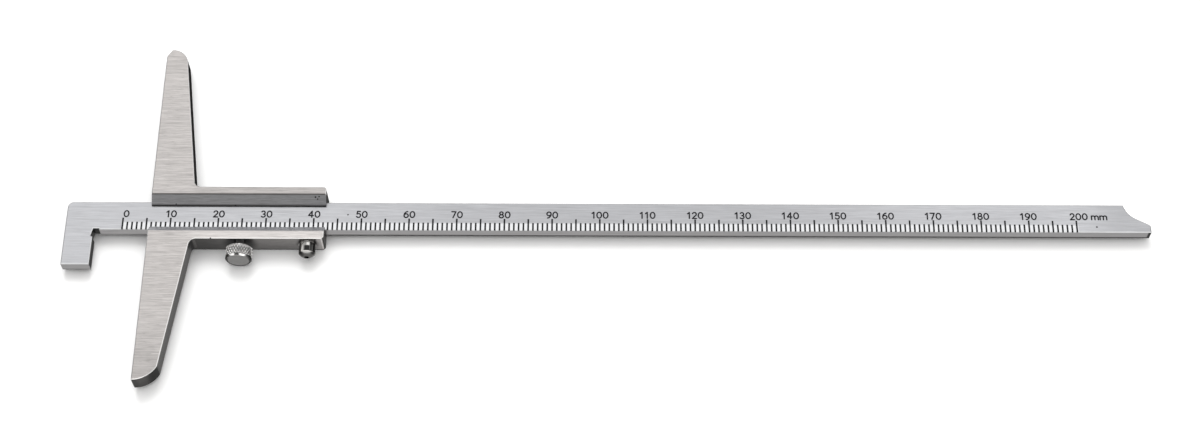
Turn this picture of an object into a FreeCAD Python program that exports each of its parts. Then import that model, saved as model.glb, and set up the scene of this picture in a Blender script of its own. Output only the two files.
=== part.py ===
import FreeCAD, Part
import math
import os

import Sketcher

# Vernier depth gauge with a hooked beam, lying on its back.
# Z is up. X runs along the beam, from the hook at -X to the tail at +X. The scale reads from the -Y side.
# Outlines are drawn with x = 0 on the slide's measuring face and y = 0 on the beam's centre line. Each piece
# is then placed half a slide length towards -X, so that the origin is the centre of the slide's flat back.

SIZES = [
    ("beam_width", 6.45, "width of the graduated beam"),
    ("beam_thickness", 2.6, "thickness of the beam"),
    ("beam_length", 227.5, "from the hook's outer face to the tail's end"),
    ("hook_width", 5.87, "length of the hook along the beam"),
    ("hook_reach", 8.2, "how far the hook stands out below the beam's lower edge"),
    ("hook_gap", 11.83, "opening between the hook and the measuring face, as the gauge lies"),
    ("hook_corner", 1.2, "radius of the hook's outer corner"),
    ("relief_depth", 0.4, "depth of the undercut in the hook's inner corner"),
    ("relief_height", 1.75, "height of that undercut along the hook"),
    ("relief_length", 1.25, "length of that undercut along the beam"),
    ("relief_step", 0.25, "depth of that undercut in the beam's edge"),
    ("tail_slope", 5.37, "length of the swept cut at the tail"),
    ("hollow_back", 4.47, "distance from the tail's end to the bottom of the hollow"),
    ("hollow_rise", 0.8, "height of the hollow above the centre line"),
    ("hollow_radius", 4.5, "radius of the hollow"),
    ("nose_height", 1.7, "height of the tail's blunt end"),
    ("nose_radius", 0.8, "radius over the tail's blunt end"),
    ("beam_edge", 0.15, "broken edge round the beam's face"),
    ("slide_length", 36.7, "length of the slide along the beam"),
    ("slide_width", 12.25, "width over both rails"),
    ("slide_height", 5.2, "height of the slide"),
    ("slide_edge", 0.15, "broken edge round the slide's face"),
    ("back_thickness", 0.97, "wall behind the beam"),
    ("running_play", 0.03, "play under and over the beam"),
    ("side_play", 0.05, "play beside the beam and the spring"),
    ("arm_thickness", 4.1, "thickness of the two measuring arms"),
    ("upper_reach", 40.15, "from the centre line to the tip of the upper arm"),
    ("lower_reach", 38.2, "from the centre line to the tip of the lower arm"),
    ("arm_root", 8.9, "width of an arm where it leaves the rail"),
    ("upper_tip", 4.57, "width of the upper arm where its rounded tip starts"),
    ("upper_round", 2.64, "height of the upper arm's rounded tip"),
    ("lower_tip", 4.92, "width of the lower arm where its rounded tip starts"),
    ("lower_round", 2.9, "height of the lower arm's rounded tip"),
    ("tip_chamfer", 1.1, "cut corner of the upper tip, along the beam"),
    ("tip_drop", 1.6, "cut corner of the upper tip, along the measuring face"),
    ("root_fillet", 1.5, "fillet between arm and rail"),
    ("rail_corner", 0.7, "rounded corners at the slide's far end"),
    ("rail_face", 1.725, "width of each rail's top face"),
    ("upper_lip", 2.27, "from the centre line to the edge of the upper lip"),
    ("lower_lip", 2.8, "from the centre line to the edge of the vernier lip"),
    ("lip_edge", 0.3, "thickness of both lips at their edge"),
    ("spring_inset", 1.85, "from each end of the slide to the leaf spring"),
    ("spring_height", 2.3, "height of the leaf spring"),
    ("spring_thickness", 0.35, "thickness of the leaf spring"),
    ("spring_bow", 0.12, "bow of the leaf spring towards the beam"),
    ("screw_height", 2.78, "height of both screw axes above the slide's back"),
    ("clamp_place", 19.05, "clamp screw, from the measuring face"),
    ("clamp_stem", 1.2, "radius of the clamp screw's stem"),
    ("clamp_fit", 0.05, "radial play of the stem and of the pad in their bore"),
    ("head_gap", 1.32, "from the rail to the back of the clamp head"),
    ("head_radius", 2.75, "radius of the clamp head"),
    ("knurl_length", 2.1, "length of the knurled band"),
    ("knurl_depth", 0.25, "depth of the knurl"),
    ("knurl_angle", 30.0, "slant of the knurl in degrees"),
    ("knurl_teeth", 28, "grooves of each hand in the knurl"),
    ("neck_length", 0.2, "turned groove in front of the knurl"),
    ("neck_depth", 0.25, "depth of that groove"),
    ("ring_length", 0.35, "plain ring at the clamp head's face"),
    ("ring_chamfer", 0.24, "chamfer of that ring"),
    ("pad_thickness", 0.8, "thickness of the pad that the clamp screw pushes"),
    ("pad_nose", 0.75, "radius of the pad's nose"),
    ("pivot_radius", 0.45, "radius of the pivot point on each screw"),
    ("pivot_length", 0.4, "length of the clamp screw's pivot point"),
    ("pivot_play", 0.05, "play round and beyond a pivot point"),
    ("keeper_inset", 3.5, "keeper screw, from the slide's far end"),
    ("keeper_stem", 1.0, "radius of the keeper screw's stem"),
    ("keeper_fit", 0.02, "radial play of the keeper screw"),
    ("keeper_radius", 1.72, "radius of the keeper's domed head"),
    ("keeper_length", 2.85, "length of the keeper's domed head"),
    ("dome_rise", 0.8, "height of the dome on that head"),
    ("dome_hole", 0.48, "radius of the hole in the dome's end"),
    ("dome_hole_depth", 0.5, "depth of that hole"),
    ("washer_radius", 1.87, "radius of the washer under the keeper"),
    ("washer_thickness", 0.4, "thickness of that washer"),
]

# Places that several pieces share, each written once in terms of the sizes above.
BEAM_BOTTOM = "(Sizes.back_thickness + Sizes.running_play)"
BEAM_EDGE = "(Sizes.beam_width / 2)"
HOOK_FACE = "(0 - Sizes.hook_gap)"
HOOK_END = "(0 - Sizes.hook_gap - Sizes.hook_width)"
TAIL_END = "(Sizes.beam_length - Sizes.hook_gap - Sizes.hook_width)"
RAIL_EDGE = "(Sizes.slide_width / 2)"
WINDOW_EDGE = f"({RAIL_EDGE} - Sizes.rail_face)"
LIP_UNDERSIDE = f"({BEAM_BOTTOM} + Sizes.beam_thickness + Sizes.side_play)"
UPPER_WALL = f"({BEAM_EDGE} + Sizes.side_play)"
SPRING_BACK = f"({UPPER_WALL} + Sizes.spring_thickness)"
SPRING_WALL = f"({SPRING_BACK} + Sizes.spring_bow + Sizes.side_play)"
CLAMP_BORE = "(Sizes.clamp_stem + Sizes.clamp_fit)"
HEAD_BACK = f"({RAIL_EDGE} + Sizes.head_gap)"
PAD_FRONT = f"({SPRING_WALL} + Sizes.side_play)"
PAD_BACK = f"({PAD_FRONT} + Sizes.pad_thickness)"
KEEPER_PLACE = "(Sizes.slide_length - Sizes.keeper_inset)"
KEEPER_SEAT = f"({RAIL_EDGE} + Sizes.washer_thickness)"

doc = FreeCAD.newDocument("depth_gauge")
sheet = doc.addObject("Spreadsheet::Sheet", "Sizes")
for row, (alias, size, meaning) in enumerate(SIZES, start=1):
    sheet.set(f"A{row}", meaning)
    sheet.set(f"B{row}", str(size))
    sheet.setAlias(f"B{row}", alias)
doc.recompute()


def value(expression):
    """The number that an expression of the sheet gives."""
    return float(sheet.evalExpression(expression))


def new_body(label, x="0", z="0"):
    """A body whose own origin lies x from the measuring face and z above the slide's back."""
    body = doc.addObject("PartDesign::Body", label)
    body.Label = label
    body.setExpression("Placement.Base.x", f"{x} - Sizes.slide_length / 2")
    body.setExpression("Placement.Base.z", z)
    return body


def origin_part(body, role):
    """One of the body's own planes or axes, such as XY_Plane or Y_Axis."""
    return next(part for part in body.Origin.OriginFeatures if part.Role == role)


def new_sketch(body, name, plane, offset=None):
    """An empty sketch on one of the body's planes, moved along the plane's normal by offset."""
    sketch = body.newObject("Sketcher::SketchObject", name)
    sketch.AttachmentSupport = (origin_part(body, plane), "")
    sketch.MapMode = "FlatFace"
    if offset:
        sketch.setExpression("AttachmentOffset.Base.z", offset)
    return sketch


def drive(sketch, constraint, name, expression):
    """Add a constraint whose size follows an expression."""
    index = sketch.addConstraint(constraint)
    sketch.renameConstraint(index, name)
    sketch.setExpression(f"Constraints.{name}", expression)


def arc_edge(start, end, radius):
    """An arc of less than half a circle. It turns left from start to end, or right if radius is negative."""
    chord = end - start
    left = FreeCAD.Vector(-chord.y, chord.x, 0).normalize()
    rise = math.sqrt(radius * radius - chord.Length * chord.Length / 4)
    centre = (start + end) * 0.5 + left * math.copysign(rise, radius)
    first, last = (start, end) if radius > 0 else (end, start)
    circle = Part.Circle(centre, FreeCAD.Vector(0, 0, 1), abs(radius))
    angles = [math.atan2(point.y - centre.y, point.x - centre.x) for point in (first, last)]
    return Part.ArcOfCircle(circle, angles[0], angles[1])


def outline(sketch, corners, arcs=None):
    """A closed outline through corners, each an (x, y) pair of expressions.

    arcs gives, for the number of a corner, the radius of the arc that leaves it.
    """
    arcs = arcs or {}
    places = [FreeCAD.Vector(value(x), value(y), 0) for x, y in corners]
    count = len(corners)
    ends = []
    for index in range(count):
        start, end = places[index], places[(index + 1) % count]
        radius = arcs.get(index)
        if radius:
            sketch.addGeometry(arc_edge(start, end, value(radius)))
            ends.append((1, 2) if value(radius) > 0 else (2, 1))
        else:
            sketch.addGeometry(Part.LineSegment(start, end))
            ends.append((1, 2))
    for index in range(count):
        after = (index + 1) % count
        sketch.addConstraint(Sketcher.Constraint("Coincident", index, ends[index][1], after, ends[after][0]))
    for index, (x, y) in enumerate(corners):
        point = ends[index][0]
        drive(sketch, Sketcher.Constraint("DistanceX", -1, 1, index, point, places[index].x), f"x{index}", x)
        drive(sketch, Sketcher.Constraint("DistanceY", -1, 1, index, point, places[index].y), f"y{index}", y)
    for index, radius in arcs.items():
        size = abs(value(radius))
        drive(sketch, Sketcher.Constraint("Radius", index, size), f"radius{index}", f"abs({radius})")


def circle(sketch, x, y, radius):
    """A circle about (x, y)."""
    centre = FreeCAD.Vector(value(x), value(y), 0)
    index = sketch.addGeometry(Part.Circle(centre, FreeCAD.Vector(0, 0, 1), value(radius)))
    drive(sketch, Sketcher.Constraint("DistanceX", -1, 1, index, 3, centre.x), f"x{index}", x)
    drive(sketch, Sketcher.Constraint("DistanceY", -1, 1, index, 3, centre.y), f"y{index}", y)
    drive(sketch, Sketcher.Constraint("Radius", index, value(radius)), f"radius{index}", radius)


def pad(body, sketch, name, length):
    """Raise a sketch into a solid along its plane's normal."""
    feature = body.newObject("PartDesign::Pad", name)
    feature.Profile = sketch
    feature.setExpression("Length", length)
    return feature


def pocket(body, sketch, name, length):
    """Cut a sketch along its plane's normal, and check that something was cut."""
    doc.recompute()
    before = body.Shape.Volume
    feature = body.newObject("PartDesign::Pocket", name)
    feature.Profile = sketch
    feature.Reversed = True
    feature.setExpression("Length", length)
    doc.recompute()
    if feature.Shape.Volume >= before:
        raise RuntimeError(f"{name} cuts nothing")
    return feature


def turned(body, name, corners, arcs=None):
    """Turn a profile about the body's Y axis. Its x is the radius."""
    sketch = new_sketch(body, f"{name}_profile", "XY_Plane")
    outline(sketch, corners, arcs)
    feature = body.newObject("PartDesign::Revolution", name)
    feature.Profile = sketch
    feature.ReferenceAxis = (origin_part(body, "Y_Axis"), [""])
    feature.Angle = 360
    return feature


def dress(body, kind, name, size_name, size, wanted):
    """A Fillet or Chamfer on the body's edges that wanted(edge) picks."""
    doc.recompute()
    base = body.Tip
    names = [f"Edge{index}" for index, edge in enumerate(base.Shape.Edges, start=1) if wanted(edge)]
    if not names:
        raise RuntimeError(f"{name} finds no edge")
    feature = body.newObject(f"PartDesign::{kind}", name)
    feature.Base = (base, names)
    feature.setExpression(size_name, size)
    return feature


def upright_at(x, y):
    """Picks the upright edges that stand at (x, y)."""
    place = FreeCAD.Vector(value(x), value(y), 0)

    def wanted(edge):
        ends = [vertex.Point for vertex in edge.Vertexes]
        return len(ends) == 2 and all(math.hypot(end.x - place.x, end.y - place.y) < 1e-4 for end in ends)

    return wanted


def level_at(z):
    """Picks the edges that lie in the plane at height z."""
    height = value(z)

    def wanted(edge):
        box = edge.BoundBox
        return abs(box.ZMin - height) < 1e-4 and abs(box.ZMax - height) < 1e-4

    return wanted


def build_beam():
    """The graduated beam: one flat bar with the hook at one end and a swept tail at the other."""
    body = new_body("beam", z=BEAM_BOTTOM)
    sketch = new_sketch(body, "beam_outline", "XY_Plane")
    lower = f"(0 - {BEAM_EDGE})"
    hollow = (f"{TAIL_END} - Sizes.hollow_back", "Sizes.hollow_rise")
    nose = (TAIL_END, f"{lower} + Sizes.nose_height")
    outline(sketch, [
        (HOOK_END, f"{lower} - Sizes.hook_reach"),
        (HOOK_FACE, f"{lower} - Sizes.hook_reach"),
        (HOOK_FACE, f"{lower} - Sizes.relief_height"),
        (f"{HOOK_FACE} - Sizes.relief_depth", f"{lower} - Sizes.relief_height + Sizes.relief_depth"),
        (HOOK_FACE, f"{lower} + Sizes.relief_step"),
        (f"{HOOK_FACE} + Sizes.relief_length", f"{lower} + Sizes.relief_step"),
        (f"{HOOK_FACE} + Sizes.relief_length", lower),
        (TAIL_END, lower),
        nose,
        hollow,
        (f"{TAIL_END} - Sizes.tail_slope", BEAM_EDGE),
        (HOOK_END, BEAM_EDGE),
    ])
    pad(body, sketch, "bar", "Sizes.beam_thickness")
    dress(body, "Fillet", "hook_round", "Radius", "Sizes.hook_corner", upright_at(HOOK_END, BEAM_EDGE))
    dress(body, "Fillet", "hollow_round", "Radius", "Sizes.hollow_radius", upright_at(*hollow))
    dress(body, "Fillet", "nose_round", "Radius", "Sizes.nose_radius", upright_at(*nose))
    dress(body, "Chamfer", "beam_rim", "Size", "Sizes.beam_edge", level_at("Sizes.beam_thickness"))
    return body


def build_slide():
    """The slide: two tapered measuring arms, two rails whose lips hold the beam, and the wall behind it."""
    body = new_body("slide_body")
    arms = new_sketch(body, "arms_outline", "XY_Plane", "Sizes.slide_height - Sizes.arm_thickness")
    lower_radius = "((Sizes.lower_tip ^ 2 + Sizes.lower_round ^ 2) / (2 * Sizes.lower_round))"
    span = "(Sizes.upper_tip - Sizes.tip_chamfer)"
    upper_radius = f"(({span} ^ 2 + Sizes.upper_round ^ 2) / (2 * Sizes.upper_round))"
    outline(arms, [
        ("0", "0 - Sizes.lower_reach"),
        ("Sizes.lower_tip", "Sizes.lower_round - Sizes.lower_reach"),
        ("Sizes.arm_root", f"0 - {RAIL_EDGE}"),
        ("Sizes.slide_length", f"0 - {RAIL_EDGE}"),
        ("Sizes.slide_length", RAIL_EDGE),
        ("Sizes.arm_root", RAIL_EDGE),
        ("Sizes.upper_tip", "Sizes.upper_reach - Sizes.upper_round"),
        ("Sizes.tip_chamfer", "Sizes.upper_reach"),
        ("0", "Sizes.upper_reach - Sizes.tip_drop"),
    ], {0: lower_radius, 6: upper_radius})
    pad(body, arms, "arms", "Sizes.arm_thickness")
    for side, sign in (("lower", "0 - "), ("upper", "")):
        corner = upright_at("Sizes.arm_root", f"{sign}{RAIL_EDGE}")
        dress(body, "Fillet", f"{side}_root", "Radius", "Sizes.root_fillet", corner)

    block = new_sketch(body, "rails_outline", "XY_Plane")
    outline(block, [
        ("0", f"0 - {RAIL_EDGE}"),
        ("Sizes.slide_length", f"0 - {RAIL_EDGE}"),
        ("Sizes.slide_length", RAIL_EDGE),
        ("0", RAIL_EDGE),
    ])
    pad(body, block, "rails", "Sizes.slide_height")
    for side, sign in (("lower", "0 - "), ("upper", "")):
        corner = upright_at("Sizes.slide_length", f"{sign}{RAIL_EDGE}")
        dress(body, "Fillet", f"{side}_corner", "Radius", "Sizes.rail_corner", corner)

    channel = new_sketch(body, "channel_outline", "YZ_Plane")
    lip_top = f"{LIP_UNDERSIDE} + Sizes.lip_edge"
    above = "Sizes.slide_height + Sizes.lip_edge"
    outline(channel, [
        (f"0 - {SPRING_WALL}", "Sizes.back_thickness"),
        (UPPER_WALL, "Sizes.back_thickness"),
        (UPPER_WALL, LIP_UNDERSIDE),
        ("Sizes.upper_lip", LIP_UNDERSIDE),
        ("Sizes.upper_lip", lip_top),
        (WINDOW_EDGE, "Sizes.slide_height"),
        (WINDOW_EDGE, above),
        (f"0 - {WINDOW_EDGE}", above),
        (f"0 - {WINDOW_EDGE}", "Sizes.slide_height"),
        ("0 - Sizes.lower_lip", lip_top),
        ("0 - Sizes.lower_lip", LIP_UNDERSIDE),
        (f"0 - {SPRING_WALL}", LIP_UNDERSIDE),
    ])
    pocket(body, channel, "channel", "Sizes.slide_length")

    for name, place, radius in (
        ("clamp_bore", "Sizes.clamp_place", CLAMP_BORE),
        ("keeper_bore", KEEPER_PLACE, "Sizes.keeper_stem + Sizes.keeper_fit"),
    ):
        mouth = new_sketch(body, f"{name}_outline", "XZ_Plane", SPRING_WALL)
        circle(mouth, place, "Sizes.screw_height", radius)
        pocket(body, mouth, name, f"{RAIL_EDGE} - {SPRING_WALL}")
    dress(body, "Chamfer", "slide_rim", "Size", "Sizes.slide_edge", level_at("Sizes.slide_height"))
    return body


def build_spring():
    """The leaf spring: a bowed strip between lower rail and beam, with a hole for the keeper's point."""
    body = new_body("leaf_spring", z=f"{BEAM_BOTTOM} + (Sizes.beam_thickness - Sizes.spring_height) / 2")
    sketch = new_sketch(body, "spring_outline", "XY_Plane")
    start = "Sizes.spring_inset"
    end = "(Sizes.slide_length - Sizes.spring_inset)"
    back = f"0 - {SPRING_BACK} - Sizes.spring_bow"
    half = "(Sizes.slide_length / 2 - Sizes.spring_inset)"
    bend = f"({half} ^ 2 + Sizes.spring_bow ^ 2) / (2 * Sizes.spring_bow)"
    outline(sketch, [
        (start, back),
        (end, back),
        (end, f"{back} + Sizes.spring_thickness"),
        (start, f"{back} + Sizes.spring_thickness"),
    ], {0: f"0 - {bend}", 2: bend})
    pad(body, sketch, "strip", "Sizes.spring_height")
    hole = new_sketch(body, "keeper_hole_outline", "XZ_Plane", BEAM_EDGE)
    height = f"Sizes.screw_height - {BEAM_BOTTOM} - (Sizes.beam_thickness - Sizes.spring_height) / 2"
    circle(hole, KEEPER_PLACE, height, "Sizes.pivot_radius + Sizes.pivot_play")
    pocket(body, hole, "keeper_hole", f"{SPRING_WALL} - {BEAM_EDGE}")
    return body


def knurl_cut(body, name, angle):
    """One slanted V groove across the knurled band, repeated round the head."""
    middle = f"{HEAD_BACK} + Sizes.knurl_length / 2"
    sketch = new_sketch(body, f"{name}_profile", "XZ_Plane", middle)
    rim = "Sizes.head_radius + Sizes.knurl_depth"
    outline(sketch, [
        ("Sizes.head_radius - Sizes.knurl_depth", "0"),
        (rim, "0 - 2 * Sizes.knurl_depth"),
        (rim, "2 * Sizes.knurl_depth"),
    ])
    groove = body.newObject("PartDesign::Pocket", name)
    groove.Profile = sketch
    groove.Midplane = True
    groove.setExpression("Length", "2 * Sizes.knurl_length")
    groove.UseCustomVector = True
    groove.Direction = FreeCAD.Vector(0, math.cos(angle), math.sin(angle))
    ring = body.newObject("PartDesign::PolarPattern", f"{name}_ring")
    ring.Originals = [groove]
    ring.Axis = (origin_part(body, "Y_Axis"), [""])
    ring.Angle = 360
    ring.setExpression("Occurrences", "Sizes.knurl_teeth")
    body.Tip = ring
    doc.recompute()


def build_clamp_screw():
    """The clamp screw: pivot point, stem and a diamond-knurled head with a plain ring."""
    body = new_body("clamp_screw", "Sizes.clamp_place", "Sizes.screw_height")
    knurl_end = f"{HEAD_BACK} + Sizes.knurl_length"
    turned(body, "band", [
        ("0", f"0 - ({knurl_end})"),
        ("Sizes.head_radius", f"0 - ({knurl_end})"),
        ("Sizes.head_radius", f"0 - {HEAD_BACK}"),
        ("0", f"0 - {HEAD_BACK}"),
    ])
    slant = math.radians(value("Sizes.knurl_angle"))
    knurl_cut(body, "left_hand_groove", slant)
    knurl_cut(body, "right_hand_groove", -slant)

    neck_end = f"{knurl_end} + Sizes.neck_length"
    face = f"{neck_end} + Sizes.ring_length"
    neck = "Sizes.head_radius - Sizes.neck_depth"
    turned(body, "face_ring", [
        ("0", f"0 - ({face})"),
        ("Sizes.head_radius - Sizes.ring_chamfer", f"0 - ({face})"),
        ("Sizes.head_radius", f"0 - ({face}) + Sizes.ring_chamfer"),
        ("Sizes.head_radius", f"0 - ({neck_end})"),
        (neck, f"0 - ({neck_end})"),
        (neck, f"0 - ({knurl_end})"),
        ("0", f"0 - ({knurl_end})"),
    ])
    stem_end = f"{PAD_BACK} + Sizes.pivot_play"
    turned(body, "stem", [
        ("0", f"0 - {HEAD_BACK}"),
        ("Sizes.clamp_stem", f"0 - {HEAD_BACK}"),
        ("Sizes.clamp_stem", f"0 - ({stem_end})"),
        ("Sizes.pivot_radius", f"0 - ({stem_end})"),
        ("Sizes.pivot_radius", f"0 - ({stem_end}) + Sizes.pivot_length"),
        ("0", f"0 - ({stem_end}) + Sizes.pivot_length"),
    ])
    return body


def build_clamp_pad():
    """The pad that the clamp screw turns in and pushes against the leaf spring."""
    body = new_body("clamp_pad", "Sizes.clamp_place", "Sizes.screw_height")
    socket = "Sizes.pivot_radius + Sizes.pivot_play"
    socket_floor = f"0 - {PAD_BACK} + Sizes.pivot_length"
    turned(body, "pad", [
        ("0", socket_floor),
        (socket, socket_floor),
        (socket, f"0 - {PAD_BACK}"),
        ("Sizes.clamp_stem", f"0 - {PAD_BACK}"),
        ("Sizes.clamp_stem", f"0 - {PAD_FRONT}"),
        ("Sizes.pad_nose", f"0 - {PAD_FRONT}"),
        ("Sizes.pad_nose", f"0 - {SPRING_BACK} - Sizes.side_play"),
        ("0", f"0 - {SPRING_BACK} - Sizes.side_play"),
    ])
    return body


def build_keeper_screw():
    """The domed screw whose point stops the leaf spring from creeping along the slide."""
    body = new_body("keeper_screw", KEEPER_PLACE, "Sizes.screw_height")
    end = f"({KEEPER_SEAT} + Sizes.keeper_length)"
    shoulder = f"({end} - Sizes.dome_rise)"
    dome = "((Sizes.keeper_radius ^ 2 + Sizes.dome_rise ^ 2) / (2 * Sizes.dome_rise))"
    rim = f"({end} - {dome} + sqrt({dome} ^ 2 - Sizes.dome_hole ^ 2))"
    turned(body, "keeper", [
        ("0", f"0 - {end} + Sizes.dome_hole_depth"),
        ("Sizes.dome_hole", f"0 - {end} + Sizes.dome_hole_depth"),
        ("Sizes.dome_hole", f"0 - {rim}"),
        ("Sizes.keeper_radius", f"0 - {shoulder}"),
        ("Sizes.keeper_radius", f"0 - {KEEPER_SEAT}"),
        ("Sizes.keeper_stem", f"0 - {KEEPER_SEAT}"),
        ("Sizes.keeper_stem", f"0 - {PAD_FRONT}"),
        ("Sizes.pivot_radius", f"0 - {PAD_FRONT}"),
        ("Sizes.pivot_radius", f"0 - {SPRING_BACK}"),
        ("0", f"0 - {SPRING_BACK}"),
    ], {2: dome})
    return body


def build_keeper_washer():
    """The flat washer between the keeper's head and the rail."""
    body = new_body("keeper_washer", KEEPER_PLACE, "Sizes.screw_height")
    hole = "Sizes.keeper_stem + Sizes.keeper_fit"
    turned(body, "washer", [
        (hole, f"0 - {KEEPER_SEAT}"),
        ("Sizes.washer_radius", f"0 - {KEEPER_SEAT}"),
        ("Sizes.washer_radius", f"0 - {RAIL_EDGE}"),
        (hole, f"0 - {RAIL_EDGE}"),
    ])
    return body


pieces = [
    build_beam(),
    build_slide(),
    build_spring(),
    build_clamp_screw(),
    build_clamp_pad(),
    build_keeper_screw(),
    build_keeper_washer(),
]
doc.recompute()

for item in doc.Objects:
    if "Invalid" in item.State or "Error" in item.State:
        raise RuntimeError(f"{item.Name} did not build: {item.State}")
os.makedirs("parts", exist_ok=True)
for piece in pieces:
    shape = piece.Shape
    if shape.isNull() or not shape.isValid() or len(shape.Solids) != 1:
        raise RuntimeError(f"{piece.Label} is not one sound solid")
    shape.exportStep(f"parts/{piece.Label}.step")
    box = shape.BoundBox
    print(f"{piece.Label}: {shape.Volume:.1f} mm3, {len(shape.Faces)} faces")
    print(f"    x {box.XMin:.2f} to {box.XMax:.2f}, y {box.YMin:.2f} to {box.YMax:.2f},"
          f" z {box.ZMin:.2f} to {box.ZMax:.2f}")
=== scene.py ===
import math

import bmesh
import bpy
from mathutils import Matrix, Vector


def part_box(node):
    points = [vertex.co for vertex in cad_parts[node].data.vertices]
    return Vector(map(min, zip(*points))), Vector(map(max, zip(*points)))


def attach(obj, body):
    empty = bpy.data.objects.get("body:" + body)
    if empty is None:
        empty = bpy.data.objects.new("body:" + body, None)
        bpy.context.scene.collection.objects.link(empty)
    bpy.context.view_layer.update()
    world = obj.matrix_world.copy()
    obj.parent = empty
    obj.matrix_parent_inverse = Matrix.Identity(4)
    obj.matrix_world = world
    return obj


# Vernier depth gauge on a white table. Lengths are in metres, and MM turns millimetres into them.
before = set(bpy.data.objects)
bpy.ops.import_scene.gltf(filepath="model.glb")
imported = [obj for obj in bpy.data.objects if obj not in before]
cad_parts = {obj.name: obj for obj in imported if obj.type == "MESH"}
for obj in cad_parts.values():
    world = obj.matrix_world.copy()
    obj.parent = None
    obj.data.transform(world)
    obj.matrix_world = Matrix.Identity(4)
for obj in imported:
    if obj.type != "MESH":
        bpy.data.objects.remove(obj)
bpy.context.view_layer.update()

MM = 0.001


def mm(*lengths):
    """Lengths given in millimetres, in metres."""
    return tuple(length * MM for length in lengths)


UP = Vector((0.0, 0.0, 1.0))
BEAM_LOW, BEAM_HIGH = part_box("beam")
SLIDE_LOW, SLIDE_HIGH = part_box("slide_body")

# The scale on the beam.
BEAM_WIDTH = 6.45 * MM
BEAM_RIM = 0.15 * MM
SCALE_ZERO = BEAM_LOW.x + 11.95 * MM
SCALE_LENGTH = 200
MARK_WIDTH = 0.36 * MM
MARK_LENGTHS = {10: 2.72 * MM, 5: 2.66 * MM, 1: 1.76 * MM}
MARK_RISE = 0.012 * MM
MARK_DEPTH = 0.04 * MM
NUMBER_HEIGHT = 1.42 * MM
NUMBER_STROKE = 0.3 * MM
STROKE_STEP = 0.002 * MM
NUMBER_BASE = BEAM_HIGH.y - 3.5 * MM
GLYPH_GAP = 0.27
END_SHIFT = 0.6 * MM
UNIT_SHIFT = 4.28 * MM

# The vernier on the slide's lower lip. Its zero lies as far from the measuring face as the beam's zero lies
# from the hook's end.
LIP_EDGE = Vector((0.0, -2.8 * MM, BEAM_HIGH.z + 0.35 * MM))
LIP_TOP = Vector((0.0, -4.4 * MM, SLIDE_HIGH.z))
VERNIER_ZERO = SLIDE_LOW.x + 11.95 * MM
VERNIER_STEPS = 20
VERNIER_STEP = 0.95 * MM
VERNIER_WIDTH = 0.12 * MM
VERNIER_LENGTHS = {5: 1.15 * MM, 1: 0.75 * MM}

# Colours. A rim is a piece's broken edge, coloured as a painted highlight: the first colour is for most of
# it, the second, darker one is painted shade for its far side.
BEAM_STEEL = (0.565, 0.571, 0.597)
RUBBED_STEEL = (0.8, 0.81, 0.83)
BEAM_RIM_HIGHLIGHTS = ((0.72, 0.73, 0.74), (0.26, 0.26, 0.27))
SLIDE_STEEL = (0.585, 0.56, 0.55)
SLIDE_RIM_HIGHLIGHTS = ((0.86, 0.85, 0.84), (0.2, 0.2, 0.2))
SPRING_STEEL = (0.42, 0.43, 0.46)
SCREW_STEEL = (1.0, 0.98, 0.965)
KEEPER_STEEL = (0.7, 0.687, 0.672)
WASHER_STEEL = (0.4, 0.39, 0.38)
PAD_BRASS = (0.72, 0.55, 0.28)
SCALE_INK = (0.012, 0.012, 0.014)
VERNIER_INK = (0.16, 0.16, 0.17)
# Near-black for real nicks and for painted shade and shadow.
NICK_AND_SHADE_BLACK = (0.012, 0.012, 0.012)
TABLE_WHITE = (0.9, 0.9, 0.9, 1.0)

# Ranges. Two numbers are where a change starts and ends. Four are a band, which starts between the first two
# and ends between the last two. Those without mm are how far the surface faces along an axis, from -1 to 1.
UPRIGHT = (0.2, 0.5)
RIM_TILT = (0.62, 0.68, 0.74, 0.77)
RIM_FAR_SIDE = (0.45, 0.6)

# Brushed metal: its sets of streaks, and how its noise becomes tone, worn patches and gloss. Each set is its
# size, its offset in the noise, its turn in shares of the cross angle, and its weight.
GRAIN_SETS = ((1.0, 0.0, 0, 0.45), (0.6, 7.0, 1, 0.3), (0.5, 13.0, -1, 0.25))
GRAIN_SPREAD = (0.34, 0.66)
GRAIN_BUMP = 0.55
PATCH_SIZES = mm(9, 5, 5)
PATCH_SPREAD = (0.35, 0.75)
PATCH_SHARE = 0.45
WORN_TONE = 0.93
GLOSS_SPREAD = (0.25, 0.75)
DULLER = 0.09
GLOSSIER = 0.07

# Turned metal and the marks' ink.
TURNED_SPREAD = (0.3, 0.7)
TURNED_BUMP = 0.4
TURNED_DULLER = 0.06
TURNED_GLOSSIER = 0.04
RING_LENGTH = 2.5
MOTTLE = mm(0.8, 0.8, 0.8)
OUTER_END = (0.8, 0.9)
INK_PATCHES = mm(0.3, 0.3, 0.3)
INK_SPREAD = (0.45, 0.8)
INK_SHARE = 0.6
INK_SHEEN = 0.1

# The beam: its dimmer middle, the band rubbed by the slide, painted shade on its sides, painted shadow at its
# foot, painted shade inside the hook and in its recess, and the tail, dimmer on top, with painted shade on
# its +X rims and its end.
BEAM_LEVEL = (0.8, 0.95)
BEAM_MIDDLE = mm(15, 60, 110, 150)
BEAM_MIDDLE_TONE = 0.86
RUBBED_ACROSS = mm(-1.9, -1.3)
RUBBED_ALONG = [SCALE_ZERO + end for end in mm(-0.2, 0.0, 200.1, 200.5)]
BEAM_SIDE_SHADE = (0.94, 0.916, 0.888)
BEAM_FOOT = mm(1.15, 1.65)
BEAM_FOOT_ALONG = mm(-30.0, -10.0)
BEAM_FOOT_SHADOW = (0.35, 1.0)
HOOK_ALONG = mm(-29.0, -28.6)
HOOK_INSIDE = (0.3, 0.6)
HOOK_INSIDE_HEIGHT = mm(3.34, 3.44)
HOOK_RECESS = mm(-3.18, -3.1, -2.5, -2.0)
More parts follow.
